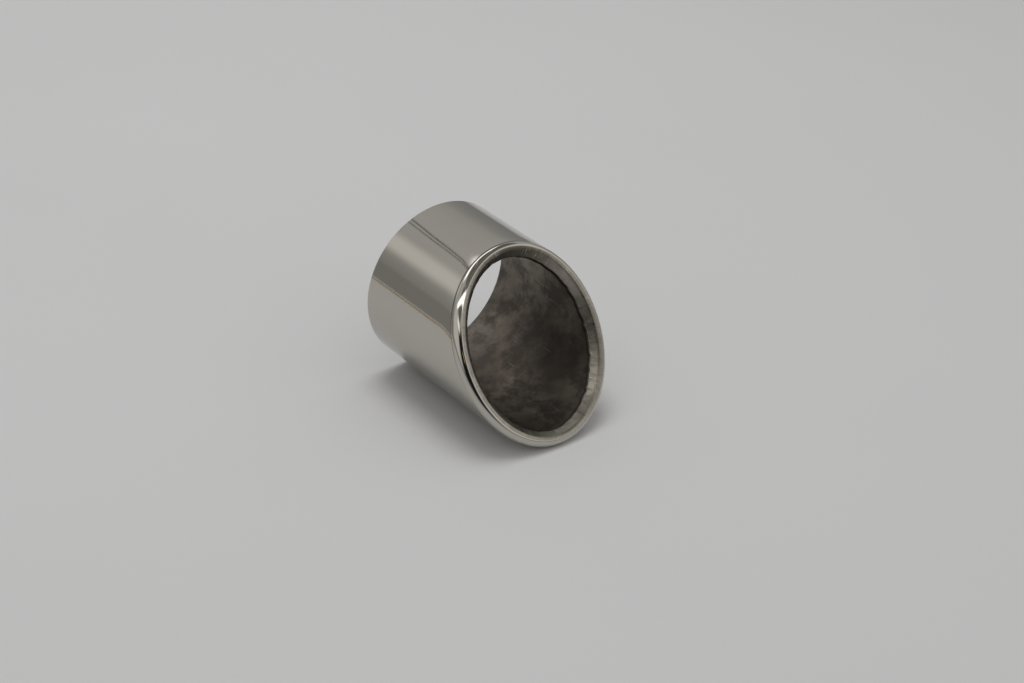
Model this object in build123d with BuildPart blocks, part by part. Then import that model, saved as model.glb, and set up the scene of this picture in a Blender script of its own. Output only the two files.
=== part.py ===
"""Slant-cut exhaust tip: one thin stainless tube whose slanted mouth is rolled inward into a lip.

The tip lies on its side as it comes to rest, with the long side of the slant down. The centre of the
inlet end is the origin, the tube's axis runs along Y, and the mouth faces -Y.
"""
import os
from math import cos, radians, sin, tan

from build123d import *

# Tube
tube_diameter = 76.0
wall = 1.5
axis_length = 67.0  # on the axis, from the inlet end to the plane through the middle of the roll
slant_angle = 33.0  # between that plane and a square cut

# Lip, as the edge is turned over: first the roll, then the bend into the return flange
roll_inside = 1.3  # inside radius of the roll
crest_land = 0.2  # level strip between the roll and the bend, where it is narrowest
bend_inside = 0.5  # inside radius of the bend
return_slope = 45.0  # how steeply the return dips into the mouth
lip_width = 7.3  # from the tube's outside to the raw edge of the return

tube_radius = tube_diameter / 2
stretch = 1 / cos(radians(slant_angle))  # long radius of a slanted section of the tube, over its short one
roll_radius = roll_inside + wall
bend_radius = bend_inside + wall
bend_reach = tan(radians(return_slope / 2))  # from a bend's corner to its tangent points, for radius 1
return_start = roll_radius * stretch + crest_land + bend_radius * bend_reach
return_drop = (lip_width - return_start) * tan(radians(return_slope))

mouth_plane = Plane(
    origin=(0, -axis_length, 0),
    x_dir=(1, 0, 0),
    z_dir=(0, -cos(radians(slant_angle)), sin(radians(slant_angle))),
)


def filled_form(inset):
    """The tip as a filled body, set in from its outside by a sheet thickness."""
    mouth_axis = Axis(mouth_plane.origin, mouth_plane.z_dir)
    crest = roll_radius - inset
    funnel = [
        (crest, return_start - inset * bend_reach),
        (crest - return_drop, lip_width - inset * bend_reach),
    ]
    with BuildPart() as form:
        with BuildSketch(Plane.XZ):
            Circle(tube_radius - inset)
        extrude(amount=axis_length + tube_diameter)
        split(bisect_by=mouth_plane.offset(crest), keep=Keep.BOTTOM)
        slanted_end = form.faces().sort_by(mouth_axis)[-1]
        fillet(slanted_end.edges(), roll_radius - inset)
        for height, set_in in funnel:
            with BuildSketch(mouth_plane.offset(height)):
                Ellipse(tube_radius - set_in, tube_radius * stretch - set_in)
        loft(ruled=True, mode=Mode.SUBTRACT)
        crest_face = form.faces().sort_by(mouth_axis)[-1]
        fillet(crest_face.inner_wires()[0].edges(), bend_radius - inset)
    return form.part


outside = filled_form(0)
inside = filled_form(wall)

with BuildPart() as exhaust_tip:
    add(outside)
    add(inside, mode=Mode.SUBTRACT)
    with BuildSketch(mouth_plane):
        Ellipse(tube_radius - lip_width, tube_radius * stretch - lip_width)
    extrude(amount=lip_width, both=True, mode=Mode.SUBTRACT)

os.makedirs("parts", exist_ok=True)
exhaust_tip.part.label = "exhaust_tip"
export_step(exhaust_tip.part, "parts/exhaust_tip.step")
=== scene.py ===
"""Slant-cut exhaust tip: the finish of its polished outside, satin lip and stained inside.

All sizes are in metres, in the part's own frame: the inlet end's centre is the origin, the tube's axis
runs along Y, the mouth faces -Y, and the tip lies on the floor with the long side of the slant down.
"""
import math

import bpy
import numpy as np
from mathutils import Matrix, Vector


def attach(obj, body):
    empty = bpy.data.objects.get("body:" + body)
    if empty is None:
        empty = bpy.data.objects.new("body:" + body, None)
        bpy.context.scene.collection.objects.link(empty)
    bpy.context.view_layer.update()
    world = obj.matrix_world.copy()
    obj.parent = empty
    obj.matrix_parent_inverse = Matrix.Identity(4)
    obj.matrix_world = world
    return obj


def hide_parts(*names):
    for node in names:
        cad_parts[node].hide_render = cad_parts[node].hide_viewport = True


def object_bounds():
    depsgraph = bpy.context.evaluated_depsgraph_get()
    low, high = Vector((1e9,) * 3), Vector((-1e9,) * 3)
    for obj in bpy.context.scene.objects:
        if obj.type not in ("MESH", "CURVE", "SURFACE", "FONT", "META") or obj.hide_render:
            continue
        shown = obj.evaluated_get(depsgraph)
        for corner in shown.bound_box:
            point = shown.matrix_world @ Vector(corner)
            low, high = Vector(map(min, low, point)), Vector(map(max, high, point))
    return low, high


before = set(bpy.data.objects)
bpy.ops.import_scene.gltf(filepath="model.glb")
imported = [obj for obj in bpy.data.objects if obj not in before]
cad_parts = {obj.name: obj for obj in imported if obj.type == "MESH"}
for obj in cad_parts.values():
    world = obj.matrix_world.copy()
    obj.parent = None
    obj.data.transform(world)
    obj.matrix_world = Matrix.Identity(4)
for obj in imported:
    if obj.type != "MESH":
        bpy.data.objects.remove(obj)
cad_low, cad_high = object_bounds()

MM = 0.001

# Tube and lip, as in the part
TUBE_RADIUS = (cad_high.x - cad_low.x) / 2
FLOOR_LEVEL = cad_low.z
WALL = 1.5 * MM
AXIS_LENGTH = 67.0 * MM
SLANT = math.radians(33.0)
ROLL_INSIDE = 1.3 * MM
CREST_LAND = 0.2 * MM
BEND_INSIDE = 0.5 * MM
RETURN_SLOPE = math.radians(45.0)
LIP_WIDTH = 7.3 * MM

# Small forms of the worked sheet
EDGE_BREAK = 0.15 * MM  # how far the cut edges are rounded off
NECK_DEPTH = 0.06 * MM, 0.24 * MM  # the neck behind the roll: on the upper left, and elsewhere
NECK_LENGTH = 6.0 * MM  # the soft shoulder down to that neck
BACK_RADIUS = 1.0 * MM  # of the roll's back, which rises from the neck
ROLL_START = 1.6, 0.75  # where the roll leaves the wall, against a round one: on the left, and on top
RIPPLE = 0.006 * MM  # slow unevenness of the polished wall
CRIMP_DEPTH = 0.17 * MM  # puckers in the return, where the edge was turned in
RAGGED = 0.16 * MM  # how unevenly the raw edge of the return ends

STATIONS = 448  # around the tube

# Places around the tube: middle and reach in degrees, from +X up over the top
UPPER_LEFT = 118, 80
ROLL_LEFT = 148, 58
ROLL_TOP = 92, 45
# Where the underside's polish gets painted shade
SHADED_UNDERSIDE = 225, 55
DULL_SIDE = 15, 100
CRIMPED = 312, 75
# Painted glints on the lip's return at the lower right
GLINT_LIP = 318, 48
# Painted shade on the lip at the top and at the right
SHADED_LIP_TOP = 80, 62
SHADED_LIP_RIGHT = 350, 85
# Painted shadow at the raw edge, strongest at the top
EDGE_SHADE_TOP = 80, 90
SHADED_INSIDE = 55, 85

# The photograph's view
CAMERA_PLACE = Vector((-0.43538, -0.56276, 0.39081))
CAMERA_TARGET = Vector((0.0015, -0.0531, -0.0064))
CAMERA_LEAN = math.radians(4.4)
CAMERA_LENS = 63.28

roll_radius = ROLL_INSIDE + WALL
bend_radius = BEND_INSIDE + WALL
stretch = 1 / math.cos(SLANT)
bend_reach = math.tan(RETURN_SLOPE / 2)
return_start = roll_radius * stretch + CREST_LAND + bend_radius * bend_reach

# Directions: out of the mouth, up the slant and across
mouth_normal = np.array([0.0, -math.cos(SLANT), math.sin(SLANT)])
up_slant = np.array([0.0, math.sin(SLANT), math.cos(SLANT)])
across = np.array([1.0, 0.0, 0.0])
mouth_centre = np.array([0.0, -AXIS_LENGTH, 0.0])

turns = np.arange(STATIONS) * 2 * math.pi / STATIONS


def waves(counts, seed):
    """A smooth uneven curve around the tube, mostly within -1 to 1, of sines with counts waves a turn."""
    draw = np.random.default_rng(seed)
    total = np.zeros_like(turns)
    for count in counts:
        total += draw.uniform(0.4, 1.0) * np.sin(count * turns + draw.uniform(0, 2 * math.pi))
    return total / math.sqrt(len(counts))


def near(degrees, reach):
    """A smooth hump around the tube: 1 at an angle, nothing beyond reach degrees from it."""
    away = (np.degrees(turns) - degrees + 180) % 360 - 180
    return np.clip(1 - (away / reach) ** 2, 0, 1) ** 2


class Section:
    """Rows of points around the tip, one after another along the section of its sheet."""

    def __init__(self):
        self.rows = []
        self.marks = {"polish": [], "inside": [], "grime": [], "worn": []}

    def add(self, points, **marks):
        """One row, with how polished and far inside it is and how much painted shade and painted glint it
        gets, each from 0 to 1.
        """
        self.rows.append(points)
        for name, values in self.marks.items():
            values.append(np.broadcast_to(marks.get(name, 0.0), turns.shape))


def around(angles):
    return np.stack([np.cos(angles), 0 * angles, np.sin(angles)], 1)


def wall_row(angles, radius, distance):
    """Points on the wall, at a distance from the inlet end."""
    points = around(angles) * np.broadcast_to(radius, turns.shape)[:, None]
    points[:, 1] -= distance
    return points


# The roll's middle line, and across it outward in the plane of the mouth
outward = np.outer(stretch * np.cos(turns), across) + np.outer(np.sin(turns), up_slant)
outward /= np.linalg.norm(outward, axis=1)[:, None]
roll_ring = TUBE_RADIUS - roll_radius
roll_middle = (
    mouth_centre
    + np.outer(roll_ring * np.cos(turns), across)
    + np.outer(roll_ring * stretch * np.sin(turns), up_slant)
)
wall_turn = np.arctan2(around(turns) @ mouth_normal, np.einsum("ij,ij->i", around(turns), outward))

# How the roll and the neck behind it change around the tube
upper_left = near(*UPPER_LEFT)
neck_depth = NECK_DEPTH[1] + (NECK_DEPTH[0] - NECK_DEPTH[1]) * upper_left
roll_start = 1 + (ROLL_START[0] - 1) * near(*ROLL_LEFT) + (ROLL_START[1] - 1) * near(*ROLL_TOP)
back_turn = np.arccos(1 - neck_depth / BACK_RADIUS)
# Painted shade in the neck crease behind the roll, darkest on the upper left
neck_shade = 0.25 + 0.55 * upper_left


def roll_way(angle):
    """Directions in the roll's section, square to its middle line."""
    return np.cos(angle)[:, None] * outward + np.outer(np.sin(angle), mouth_normal)


def roll_row(radius, share, start=1.0):
    """Points on the roll: share 0 is where it leaves the wall, 1 its crest.

    It is a round arc, or with a start above 1 one that leaves the wall further back, below 1 a tighter one.
    It never stands out of the tube.
    """
    half = (math.pi / 2 - wall_turn) / 2
    corner = roll_middle + (radius / np.cos(half))[:, None] * roll_way(wall_turn + half)
    crest = roll_middle + radius * roll_way(np.full_like(turns, math.pi / 2))
    start = np.broadcast_to(start, turns.shape)[:, None]
    foot = corner + start * (roll_middle + radius * roll_way(wall_turn) - corner)
    weights = (1 - share) ** 2, 2 * share * (1 - share) * np.cos(half)[:, None], share ** 2
    points = (weights[0] * foot + weights[1] * corner + weights[2] * crest) / sum(weights)
    reach = np.hypot(points[:, 0], points[:, 2])
    points[:, [0, 2]] *= np.minimum(1, TUBE_RADIUS / reach)[:, None]
    return points


def back_row(share):
    """Points on the back of the roll: share 0 is in the neck, 1 where the roll begins."""
    middle = roll_row(roll_radius, 0.0, roll_start) - BACK_RADIUS * roll_way(wall_turn)
    return middle + BACK_RADIUS * roll_way(wall_turn - back_turn * (1 - share))


def lip_row(set_in, height):
    """A ring parallel to the mouth, set in from the tube's outside."""
    height = np.broadcast_to(height, turns.shape)
    return (
        mouth_centre
        + np.outer((TUBE_RADIUS - set_in) * np.cos(turns), across)
        + np.outer((TUBE_RADIUS * stretch - set_in) * np.sin(turns), up_slant)
        + np.outer(height, mouth_normal)
    )


def bend_place(radius, share):
    """Set-in and height of the bend between crest and return."""
    angle = RETURN_SLOPE * share
    middle = return_start - bend_radius * bend_reach
    return middle + radius * math.sin(angle), roll_radius - bend_radius + radius * math.cos(angle)


crimps = waves((19, 27, 34, 45, 58, 73), 4) * (0.25 + 0.75 * near(*CRIMPED))
ragged = waves((9, 17, 29, 43, 67), 8)


def return_row(share, inset=0.0, short=0.0):
    """On the return: share 0 at the bend, 1 at the raw edge; inset is into the sheet."""
    set_in, height = bend_place(bend_radius - inset, 1.0)
    run = (LIP_WIDTH - set_in) * share - short + RAGGED * ragged * share ** 3
    pucker = CRIMP_DEPTH * crimps * share ** 1.5
    return lip_row(set_in + run, height - run * math.tan(RETURN_SLOPE) + pucker)


def edge_rows(radius, inward):
    """The rounded-off edge of the inlet end, from the end face out to the wall."""
    for angle in np.linspace(0, math.pi / 2, 4):
        yield radius + inward * EDGE_BREAK * (1 - math.sin(angle)), EDGE_BREAK * (1 - math.cos(angle))


def add_outside(section):
    """Outside of the wall, from the inlet's outer edge down the shoulder into the neck."""
    neck = back_row(0.0)
    neck_radius = np.hypot(neck[:, 0], neck[:, 2])
    neck_shift = (np.arctan2(neck[:, 2], neck[:, 0]) - turns + math.pi) % (2 * math.pi) - math.pi
    neck_distance = -neck[:, 1]
    shoulder = neck_distance - NECK_LENGTH
    for radius, distance in edge_rows(TUBE_RADIUS, -1):
        section.add(wall_row(turns, radius, distance), polish=1)
    ripple = waves((3, 5, 8), 21)
    # Painted shade: the polish darkened on the underside, where it mirrors the shadowed floor
    shade_under = 0.16 * near(*SHADED_UNDERSIDE)
    for k in np.concatenate([[0.002, 0.006, 0.015], np.linspace(0.04, 1, 26)]):
        distance = EDGE_BREAK + (shoulder - EDGE_BREAK) * k
        dip = RIPPLE * (1 + ripple * np.sin(9 * k + ripple)) * math.sin(math.pi * k)
        section.add(wall_row(turns, TUBE_RADIUS - dip, distance), polish=1, grime=shade_under)
    # Down the shoulder the underside's painted shade fades out, and the last rows get the crease's painted
    # shade
    for k in np.linspace(0, 1, 20)[1:-1]:
        radius = TUBE_RADIUS - (TUBE_RADIUS - neck_radius) * k ** 2
        points = wall_row(turns + neck_shift * k ** 2, radius, shoulder + NECK_LENGTH * k)
        section.add(points, polish=1, grime=shade_under * (1 - k) + neck_shade * (k > 0.93))


def add_lip(section):
    """Roll, crest, bend and return, round to the far side of the raw edge."""
    # The roll's back, with the crease's painted shade fading up it
    for k in np.linspace(0, 1, 9)[:-1]:
        section.add(back_row(k), polish=1, grime=neck_shade * (1 - k) ** 0.5)
    dull_side = near(*DULL_SIDE)
    # Painted glints on the return's wrinkles at the lower right, with less painted shade there
    glint_lip = near(*GLINT_LIP)
    # Painted shade on the lip's crest, bend and return, strongest at the top and weaker at the right; on the
    # return it also grows towards the raw edge
    shaded_lip = np.maximum(0.9 * near(*SHADED_LIP_TOP), 0.5 * near(*SHADED_LIP_RIGHT))
    for k in np.linspace(0, 1, 36):
        polish = np.clip((1 - k) / (0.04 + 0.3 * dull_side), 0, 1)
        grime = 0.8 * shaded_lip * (1 - polish)
        section.add(roll_row(roll_radius, k, roll_start), polish=polish, grime=grime)
    for k in np.linspace(0, 1, 9)[1:]:
        section.add(lip_row(*bend_place(bend_radius, k)), grime=shaded_lip * (0.8 + 0.2 * k))
    for k in np.linspace(0, 1, 15)[1:-1]:
        grime = shaded_lip + (1 - shaded_lip) * 0.25 * k ** 3
        section.add(return_row(k), grime=grime * (1 - 0.4 * glint_lip), worn=glint_lip * (0.3 + 0.7 * k))
    # Painted shadow at the raw edge and in the gap behind it, darkest at the top and weaker where glints are
    # painted
    edge_shade = 0.25 + 0.35 * near(*EDGE_SHADE_TOP)
    for k in np.linspace(0, 1, 4):
        points = return_row(1.0, WALL * 0.05 * k, 0.1 * MM * (1 - k))
        section.add(points, inside=0.1 * k, grime=edge_shade * (1 - glint_lip), worn=glint_lip)
    for k in np.linspace(0, 1, 6)[1:]:
        points = return_row(1.0, WALL * (0.05 + 0.9 * k))
        section.add(points, inside=0.2 + 0.8 * k, grime=edge_shade + (1 - edge_shade) * k)


def add_inside(section):
    """Back of the return, inside of the bend, roll and wall, back to the inlet's inner edge, with painted
    shade behind the lip and a painted shadow on the wall under it.
    """
    # Painted shade: full behind the return and the bend, fading along the inside of the roll
    for k in np.linspace(1, 0, 8):
        section.add(return_row(k, WALL), inside=1, grime=1)
    for k in np.linspace(1, 0, 6)[1:]:
        section.add(lip_row(*bend_place(BEND_INSIDE, k)), inside=1, grime=1)
    for k in np.linspace(1, 0, 14):
        section.add(roll_row(ROLL_INSIDE, k), inside=1, grime=0.4 + 0.6 * k)
    wall_length = -roll_middle[:, 1]
    # Painted shadow on the inside wall under the lip, strongest at the upper right and near the mouth
    shaded = 0.3 + 0.6 * near(*SHADED_INSIDE)
    for k in np.concatenate([np.linspace(1, 0.03, 46)[1:], [0.012, 0.005, 0.002]]):
        distance = EDGE_BREAK + (wall_length - EDGE_BREAK) * k
        section.add(wall_row(turns, TUBE_RADIUS - WALL, distance), inside=1, grime=shaded * k ** 8)
    for radius, distance in list(edge_rows(TUBE_RADIUS - WALL, 1))[::-1]:
        section.add(wall_row(turns, radius, distance), inside=distance / EDGE_BREAK)


def build_section():
    """The sheet's section all round, from the inlet's outer edge over the lip to its inner edge."""
    section = Section()
    add_outside(section)
    add_lip(section)
    add_inside(section)
    return section


def build_tip():
    """The tip as one closed mesh of quads, with what its material needs kept at its points."""
    section = build_section()
    count = len(section.rows)
    row, column = np.meshgrid(np.arange(count), np.arange(STATIONS), indexing="ij")
    after, beside = (row + 1) % count, (column + 1) % STATIONS
    corners = [r * STATIONS + c for r, c in ((row, column), (row, beside), (after, beside), (after, column))]
    faces = np.stack(corners, -1).reshape(-1, 4)
    mesh = bpy.data.meshes.new("polished_tip")
    mesh.from_pydata(np.concatenate(section.rows).tolist(), [], faces.tolist())
    mesh.polygons.foreach_set("use_smooth", [True] * len(mesh.polygons))
    for name, rows in section.marks.items():
        layer = mesh.attributes.new(name, "FLOAT", "POINT")
        layer.data.foreach_set("value", np.concatenate(rows).astype(np.float32))
    steps = [np.linalg.norm(b - a, axis=1) for a, b in zip(section.rows, section.rows[1:])]
    along = np.concatenate([np.zeros_like(turns), np.cumsum(steps, 0).ravel()]) / TUBE_RADIUS
    ring = np.tile(around(turns)[:, [0, 2]], (count, 1))
    layer = mesh.attributes.new("sheet", "FLOAT_VECTOR", "POINT")
    layer.data.foreach_set("vector", np.column_stack([ring, along]).astype(np.float32).ravel())
    mesh.update()
    return show(mesh)


def show(mesh):
    thing = bpy.data.objects.new(mesh.name, mesh)
    bpy.context.scene.collection.objects.link(thing)
    return thing


class Shading:
    """A new node material, with short ways to make the nodes it needs."""

    def __init__(self, name):
        self.material = bpy.data.materials.new(name)
        self.material.use_nodes = True
        tree = self.material.node_tree
        tree.nodes.clear()
        self.nodes, self.links = tree.nodes, tree.links
        self.output = tree.nodes.new("ShaderNodeOutputMaterial")

    def put(self, kind, **sockets):
        """A node, with its sockets set to plain values or joined to other nodes."""
        node = self.nodes.new("ShaderNode" + kind)
        for name, value in sockets.items():
            socket = node.inputs[name.replace("_", " ")]
            if isinstance(value, bpy.types.NodeSocket):
                self.links.new(value, socket)
            else:
                socket.default_value = value
        return node

    def mark(self, name):
        node = self.put("Attribute")
        node.attribute_name = name
        return node.outputs["Fac"]

    def place(self, turn=(0, 0, 0), scale=(1, 1, 1)):
        """Coordinates on the object, turned and stretched."""
        where = self.put("TexCoord").outputs["Object"]
        turn = [math.radians(angle) for angle in turn]
        return self.put("Mapping", Vector=where, Rotation=turn, Scale=scale).outputs["Vector"]

    def sheet(self, around_tube, along_sheet):
        """Coordinates on the sheet, scaled around the tube and along the sheet's section."""
        node = self.put("Attribute")
        node.attribute_name = "sheet"
        scale = (around_tube, around_tube, along_sheet)
        return self.put("Mapping", Vector=node.outputs["Vector"], Scale=scale).outputs["Vector"]

    def noise(self, scale, detail=4.0, rough=0.55, where=None):
        where = where or self.place()
        node = self.put("TexNoise", Vector=where, Scale=scale, Detail=detail, Roughness=rough)
        return node.outputs["Fac"]

    def ramp(self, value, *stops):
        """A colour, or a grey, for each place along a value."""
        node = self.put("ValToRGB", Fac=value)
        elements = node.color_ramp.elements
        while len(elements) < len(stops):
            elements.new(0.5)
        for element, (at, colour) in zip(elements, stops):
            element.position = at
            element.color = (*colour, 1) if isinstance(colour, tuple) else (colour, colour, colour, 1)
        return node.outputs["Color"]

    def mix(self, share, first, second):
        node = self.nodes.new("ShaderNodeMix")
        node.data_type = "RGBA"
        for socket, value in zip((node.inputs[0], node.inputs[6], node.inputs[7]), (share, first, second)):
            if isinstance(value, bpy.types.NodeSocket):
                self.links.new(value, socket)
            else:
                socket.default_value = value
        return node.outputs[2]

    def end(self, shader):
        self.links.new(shader, self.output.inputs["Surface"])
        return self.material


def steel_material():
    """Mirror polish outside, satin on the lip, and dull stained steel inside, with painted shade in the neck
    crease, on the underside, on the lip and under it, and painted glints on the lip's lower right.
    """
    steel = Shading("tip_steel")
    polish, inside, grime, worn = (steel.mark(name) for name in ("polish", "inside", "grime", "worn"))

    # Mirror polish
    bright = steel.ramp(steel.noise(25), (0.3, (0.535, 0.51, 0.46)), (0.7, (0.555, 0.53, 0.48)))
    # Painted shade, dark purple, in the neck crease and over the underside
    bright = steel.mix(grime, bright, (0.07, 0.06, 0.07, 1))
    bright_grain = steel.ramp(steel.noise(60), (0.3, 0.055), (0.7, 0.085))

    # Satin lip, scratched across, with painted shade on its top and right and at its raw edge
    satin = steel.ramp(steel.noise(260), (0.3, (0.31, 0.29, 0.245)), (0.7, (0.43, 0.4, 0.35)))
    satin = steel.mix(grime, satin, (0.06, 0.05, 0.037, 1))
    marks = steel.noise(1.0, 3.0, 0.6, steel.sheet(34, 5))
    satin = steel.mix(steel.ramp(marks, (0.58, 0.0), (0.72, 0.32)), satin, (0.07, 0.058, 0.045, 1))
    # Rubbed bright, and at the lower right painted glints on the wrinkles
    rubs = steel.noise(1.0, 2.0, 0.5, steel.sheet(55, 9))
    satin = steel.mix(steel.ramp(rubs, (0.6, 0.0), (0.74, 0.6)), satin, (0.5, 0.47, 0.42, 1))
    wrinkles = steel.noise(1.0, 3.0, 0.65, steel.sheet(95, 14))
    patches = steel.mix(worn, (0, 0, 0, 1), steel.ramp(wrinkles, (0.48, 0.0), (0.64, 0.9)))
    satin = steel.mix(patches, satin, (0.5, 0.44, 0.385, 1))
    satin_grain = steel.ramp(marks, (0.3, 0.26), (0.7, 0.44))

    # Stained inside: soot, a rusty patch, and scratches in short runs
    soot = steel.noise(24, 6.0, 0.6)
    stained = steel.ramp(
        soot,
        (0.36, (0.1, 0.088, 0.075)),
        (0.5, (0.22, 0.197, 0.166)),
        (0.66, (0.37, 0.335, 0.28)),
    )
    spots = steel.ramp(steel.noise(110, 6.0, 0.68, steel.place((15, 40, 5))), (0.42, 0.7), (0.56, 0.0))
    stained = steel.mix(spots, stained, (0.075, 0.066, 0.057, 1))
    rust = steel.ramp(steel.noise(17, 5.0, 0.6, steel.place((65, 35, 20))), (0.55, 0.0), (0.75, 0.12))
    stained = steel.mix(rust, stained, (0.3, 0.2, 0.145, 1))
    runs = steel.ramp(steel.noise(70, 2.0), (0.5, 0.0), (0.6, 1.0))
    for turn, stretched, low in (
        ((25, 10, 50), (18, 1500, 18), 0.64),
        ((-35, 60, 15), (1400, 20, 20), 0.65),
        ((70, -25, 30), (20, 20, 1700), 0.64),
    ):
        lines = steel.noise(1.0, 3.0, 0.6, steel.place(turn, stretched))
        scratch = steel.mix(runs, (0, 0, 0, 1), steel.ramp(lines, (low, 0.0), (low + 0.04, 0.4)))
        stained = steel.mix(scratch, stained, (0.5, 0.46, 0.4, 1))
    # Painted shade, near black, behind the lip and on the inside wall under it
    stained = steel.mix(grime, stained, (0.035, 0.03, 0.026, 1))
    stained_grain = steel.ramp(steel.noise(90), (0.3, 0.45), (0.7, 0.62))

    # Put together, with a fine relief where it isn't polished
    colour = steel.mix(inside, steel.mix(polish, satin, bright), stained)
    grain = steel.mix(inside, steel.mix(polish, satin_grain, bright_grain), stained_grain)
    depth = steel.mix(inside, steel.mix(polish, wrinkles, (0.5, 0.5, 0.5, 1)), soot)
    relief = steel.put("Bump", Height=depth, Strength=0.35, Distance=0.12 * MM).outputs["Normal"]
    shader = steel.put("BsdfPrincipled", Base_Color=colour, Roughness=grain, Metallic=1.0, Normal=relief)
    return steel.end(shader.outputs["BSDF"])


def paper_material():
    paper = Shading("pale_paper")
    tone = paper.ramp(paper.noise(3), (0.3, (0.735, 0.735, 0.74)), (0.7, (0.75, 0.75, 0.755)))
    shader = paper.put("BsdfPrincipled", Base_Color=tone, Roughness=0.75, Specular_IOR_Level=0.2)
    return paper.end(shader.outputs["BSDF"])


def card_material(name, colour, glow):
    """A card that shows in polished metal, fading out where its cover falls to nothing."""
    card = Shading(name)
    light = card.put("Emission", Color=(*colour, 1), Strength=glow).outputs["Emission"]
    clear = card.put("BsdfTransparent").outputs["BSDF"]
    blend = card.put("MixShader", Fac=card.mark("cover"))
    card.links.new(clear, blend.inputs[1])
    card.links.new(light, blend.inputs[2])
    return card.end(blend.outputs["Shader"])


def build_card(name, grid, colour, glow, soft, cover=1.0):
    """A staged card from rows of points, soft along its first and last rows and at its ends."""
    rows, columns = len(grid), len(grid[0])
    faces = [
        (r * columns + c, r * columns + c + 1, (r + 1) * columns + c + 1, (r + 1) * columns + c)
        for r in range(rows - 1)
        for c in range(columns - 1)
    ]
    mesh = bpy.data.meshes.new(name)
    mesh.from_pydata([point for row in grid for point in row], [], faces)
    edge_r = np.minimum(np.linspace(0, 1, rows), np.linspace(1, 0, rows))[:, None]
    edge_c = np.minimum(np.linspace(0, 1, columns), np.linspace(1, 0, columns))[None, :]
    fade = np.clip(edge_r / soft[0], 0, 1) * np.clip(edge_c / soft[1], 0, 1)
    layer = mesh.attributes.new("cover", "FLOAT", "POINT")
    layer.data.foreach_set("value", (cover * fade * fade * (3 - 2 * fade)).ravel().astype(np.float32))
    card = show(mesh)
    card.data.materials.append(card_material(name, colour, glow))
    card.visible_camera = False
    card.visible_diffuse = False
    card.visible_shadow = False


def mirrored(turn, distance):
    """A place on the tube's outside, and which way the camera's view goes on from there."""
    out = Vector((math.cos(turn), 0, math.sin(turn)))
    place = out * TUBE_RADIUS - Vector((0, distance, 0))
    ray = (place - CAMERA_PLACE).normalized()
    return place, ray - 2 * ray.dot(out) * out


def wall_card(name, first, last, colour, glow, soft, cover=1.0, reach=1.1, skew=0.0):
    """A card that the tube's wall mirrors as a band along it, between two angles around the tube.

    The angles are at the inlet end, and skew is how many degrees they gain by the mouth.
    """
    past_both_ends = np.linspace(-0.05, 0.14, 16)
    grid = []
    for turn in np.linspace(first, last, 21):
        row = []
        for distance in past_both_ends:
            place, ray = mirrored(math.radians(turn + skew * distance / AXIS_LENGTH), distance)
            row.append(tuple(place + ray * reach))
        grid.append(row)
    build_card(name, grid, colour, glow, (soft, 0.05), cover)


def sky_card(name, sides, heights, colour, glow, soft, cover=1.0, reach=1.3):
    """A curved card around the stage: sides are angles from the mouth's way, -Y, towards +X."""
    grid = []
    for height in np.radians(np.linspace(*heights, 21)):
        row = []
        for side in np.radians(np.linspace(*sides, 31)):
            row.append((
                reach * math.cos(height) * math.sin(side),
                -reach * math.cos(height) * math.cos(side),
                reach * math.sin(height),
            ))
        grid.append(row)
    build_card(name, grid, colour, glow, soft, cover)


def strip_card(name, start, end, width, colour, glow):
    """A straight level strip between two places."""
    start, end = np.array(start), np.array(end)
    side = np.cross(end - start, (0, 0, 1))
    side *= width / np.linalg.norm(side)
    grid = [
        [tuple(start + (end - start) * along + side * across_strip) for along in np.linspace(0, 1, 24)]
        for across_strip in np.linspace(-0.5, 0.5, 9)
    ]
    build_card(name, grid, colour, glow, (0.25, 0.05))


def build_stage():
    half = 4.0
    mesh = bpy.data.meshes.new("floor")
    corners = [(-half, -half), (half, -half), (half, half), (-half, half)]
    mesh.from_pydata([(x, y, FLOOR_LEVEL) for x, y in corners], [], [(0, 1, 2, 3)])
    floor = show(mesh)
    floor.data.materials.append(paper_material())

    # Room around the table, as the polish shows it
    grey, tan, warm = (1, 0.99, 0.96), (1.0, 0.8, 0.55), (1.0, 0.7, 0.4)
    wall_card("far_room", 149, 162, grey, 0.25, 0.15, reach=0.36)
    wall_card("table_edge", 161.6, 163.0, tan, 0.34, 0.3, reach=0.34)
    wall_card("panel", 125.5, 143, grey, 0.7, 0.4)
    wall_card("shelf", 114.3, 115.4, grey, 0.06, 0.25, reach=1.0, skew=6.2)
    wall_card("shelf_lower", 117.2, 118.1, grey, 0.07, 0.25, 0.9, reach=1.0, skew=4.4)
    sky_card("back_window", (120, 232), (50, 65), (1, 0.99, 0.98), 2.2, (0.15, 0.12))
    sky_card("ceiling", (-180, 180), (69, 89), (0.96, 1, 0.92), 0.15, (0.1, 0.01), reach=1.9)
    sky_card("front_ceiling", (-100, 138), (45, 70), (0.96, 1, 0.92), 0.15, (0.1, 0.06), reach=1.9)
    sky_card("left_wall", (-122, -64), (2, 44), grey, 0.66, (0.15, 0.15))
    sky_card("left_lamp", (-85, -35), (38, 45), grey, 1.3, (0.25, 0.2), reach=1.2)
    sky_card("dark_front", (-62, 8), (4, 42), grey, 0.012, (0.1, 0.1), reach=1.25)
    sky_card("small_lamp", (-26, -17), (26, 33), warm, 1.0, (0.3, 0.3), reach=1.2)
    sky_card("right_wall", (10, 82), (4, 44), grey, 0.72, (0.15, 0.06))
    strip_card("strip_lamp", (0.46, -1.43, 1.2), (-1.74, 0.75, 1.2), 0.26, grey, 2.4)


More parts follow.
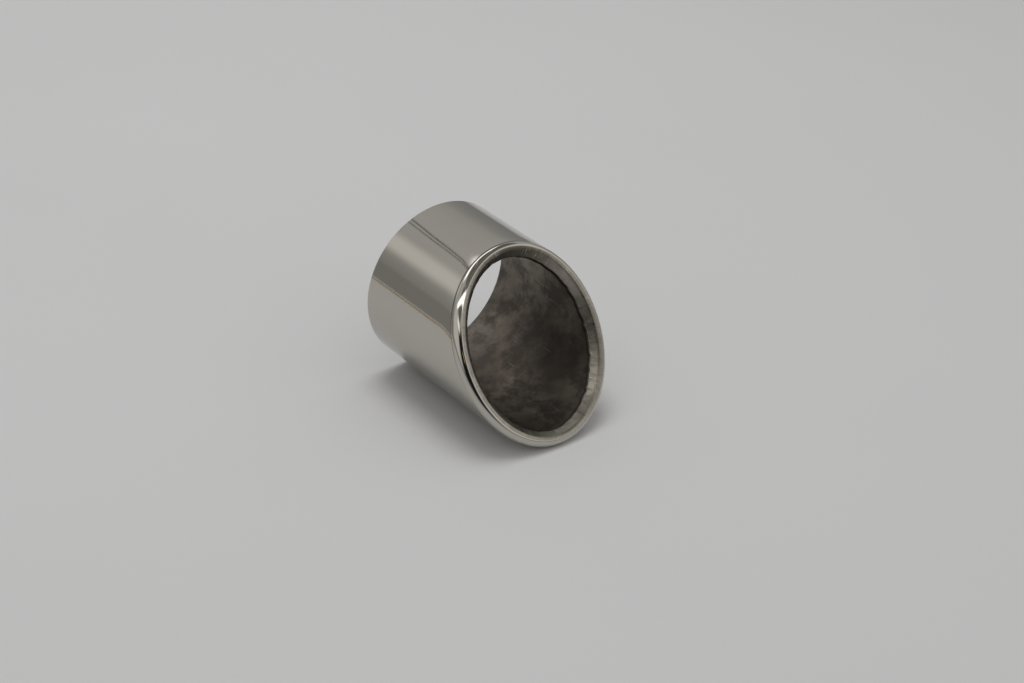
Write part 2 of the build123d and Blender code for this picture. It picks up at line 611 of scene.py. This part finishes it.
def build_light():
    world = bpy.data.worlds.new("studio")
    bpy.context.scene.world = world
    world.use_nodes = True
    nodes, links = world.node_tree.nodes, world.node_tree.links
    nodes.clear()
    split = nodes.new("ShaderNodeSeparateXYZ")
    links.new(nodes.new("ShaderNodeTexCoord").outputs["Generated"], split.inputs[0])
    ramp = nodes.new("ShaderNodeValToRGB")
    links.new(split.outputs["Z"], ramp.inputs["Fac"])
    steps = ((0.0, 0.23), (0.2, 0.28), (0.33, 0.33), (0.45, 0.41), (0.62, 0.46), (1.0, 0.52))
    while len(ramp.color_ramp.elements) < len(steps):
        ramp.color_ramp.elements.new(0.5)
    for element, (at, level) in zip(ramp.color_ramp.elements, steps):
        element.position = at
        element.color = (level, level * 0.995, level * 0.98, 1)
    room = nodes.new("ShaderNodeBackground")
    links.new(ramp.outputs["Color"], room.inputs["Color"])
    pale = nodes.new("ShaderNodeBackground")
    pale.inputs["Color"].default_value = (0.5, 0.5, 0.505, 1)
    blend = nodes.new("ShaderNodeMixShader")
    links.new(nodes.new("ShaderNodeLightPath").outputs["Is Camera Ray"], blend.inputs[0])
    links.new(room.outputs["Background"], blend.inputs[1])
    links.new(pale.outputs["Background"], blend.inputs[2])
    links.new(blend.outputs["Shader"], nodes.new("ShaderNodeOutputWorld").inputs["Surface"])

    lamp = bpy.data.lights.new("overhead", "AREA")
    lamp.shape = "DISK"
    lamp.size = 0.8
    lamp.energy = 5.9
    overhead = bpy.data.objects.new("overhead", lamp)
    overhead.location = (0.0, 0.3, 1.45)
    overhead.rotation_euler = (-overhead.location).to_track_quat("-Z", "Y").to_euler()
    overhead.visible_glossy = False
    bpy.context.scene.collection.objects.link(overhead)


def build_camera():
    """From the left and above, leaning a little."""
    data = bpy.data.cameras.new("camera")
    data.sensor_width = 36.0
    data.lens = CAMERA_LENS
    camera = bpy.data.objects.new("camera", data)
    aim = (CAMERA_TARGET - CAMERA_PLACE).to_track_quat("-Z", "Y").to_matrix()
    turn = aim @ Matrix.Rotation(CAMERA_LEAN, 3, "Z")
    camera.matrix_world = Matrix.Translation(CAMERA_PLACE) @ turn.to_4x4()
    bpy.context.scene.collection.objects.link(camera)
    bpy.context.scene.camera = camera


bpy.context.scene.view_settings.view_transform = "Standard"
tip = build_tip()
tip.data.materials.append(steel_material())
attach(tip, "root")
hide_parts("exhaust_tip")
build_stage()
build_light()
build_camera()
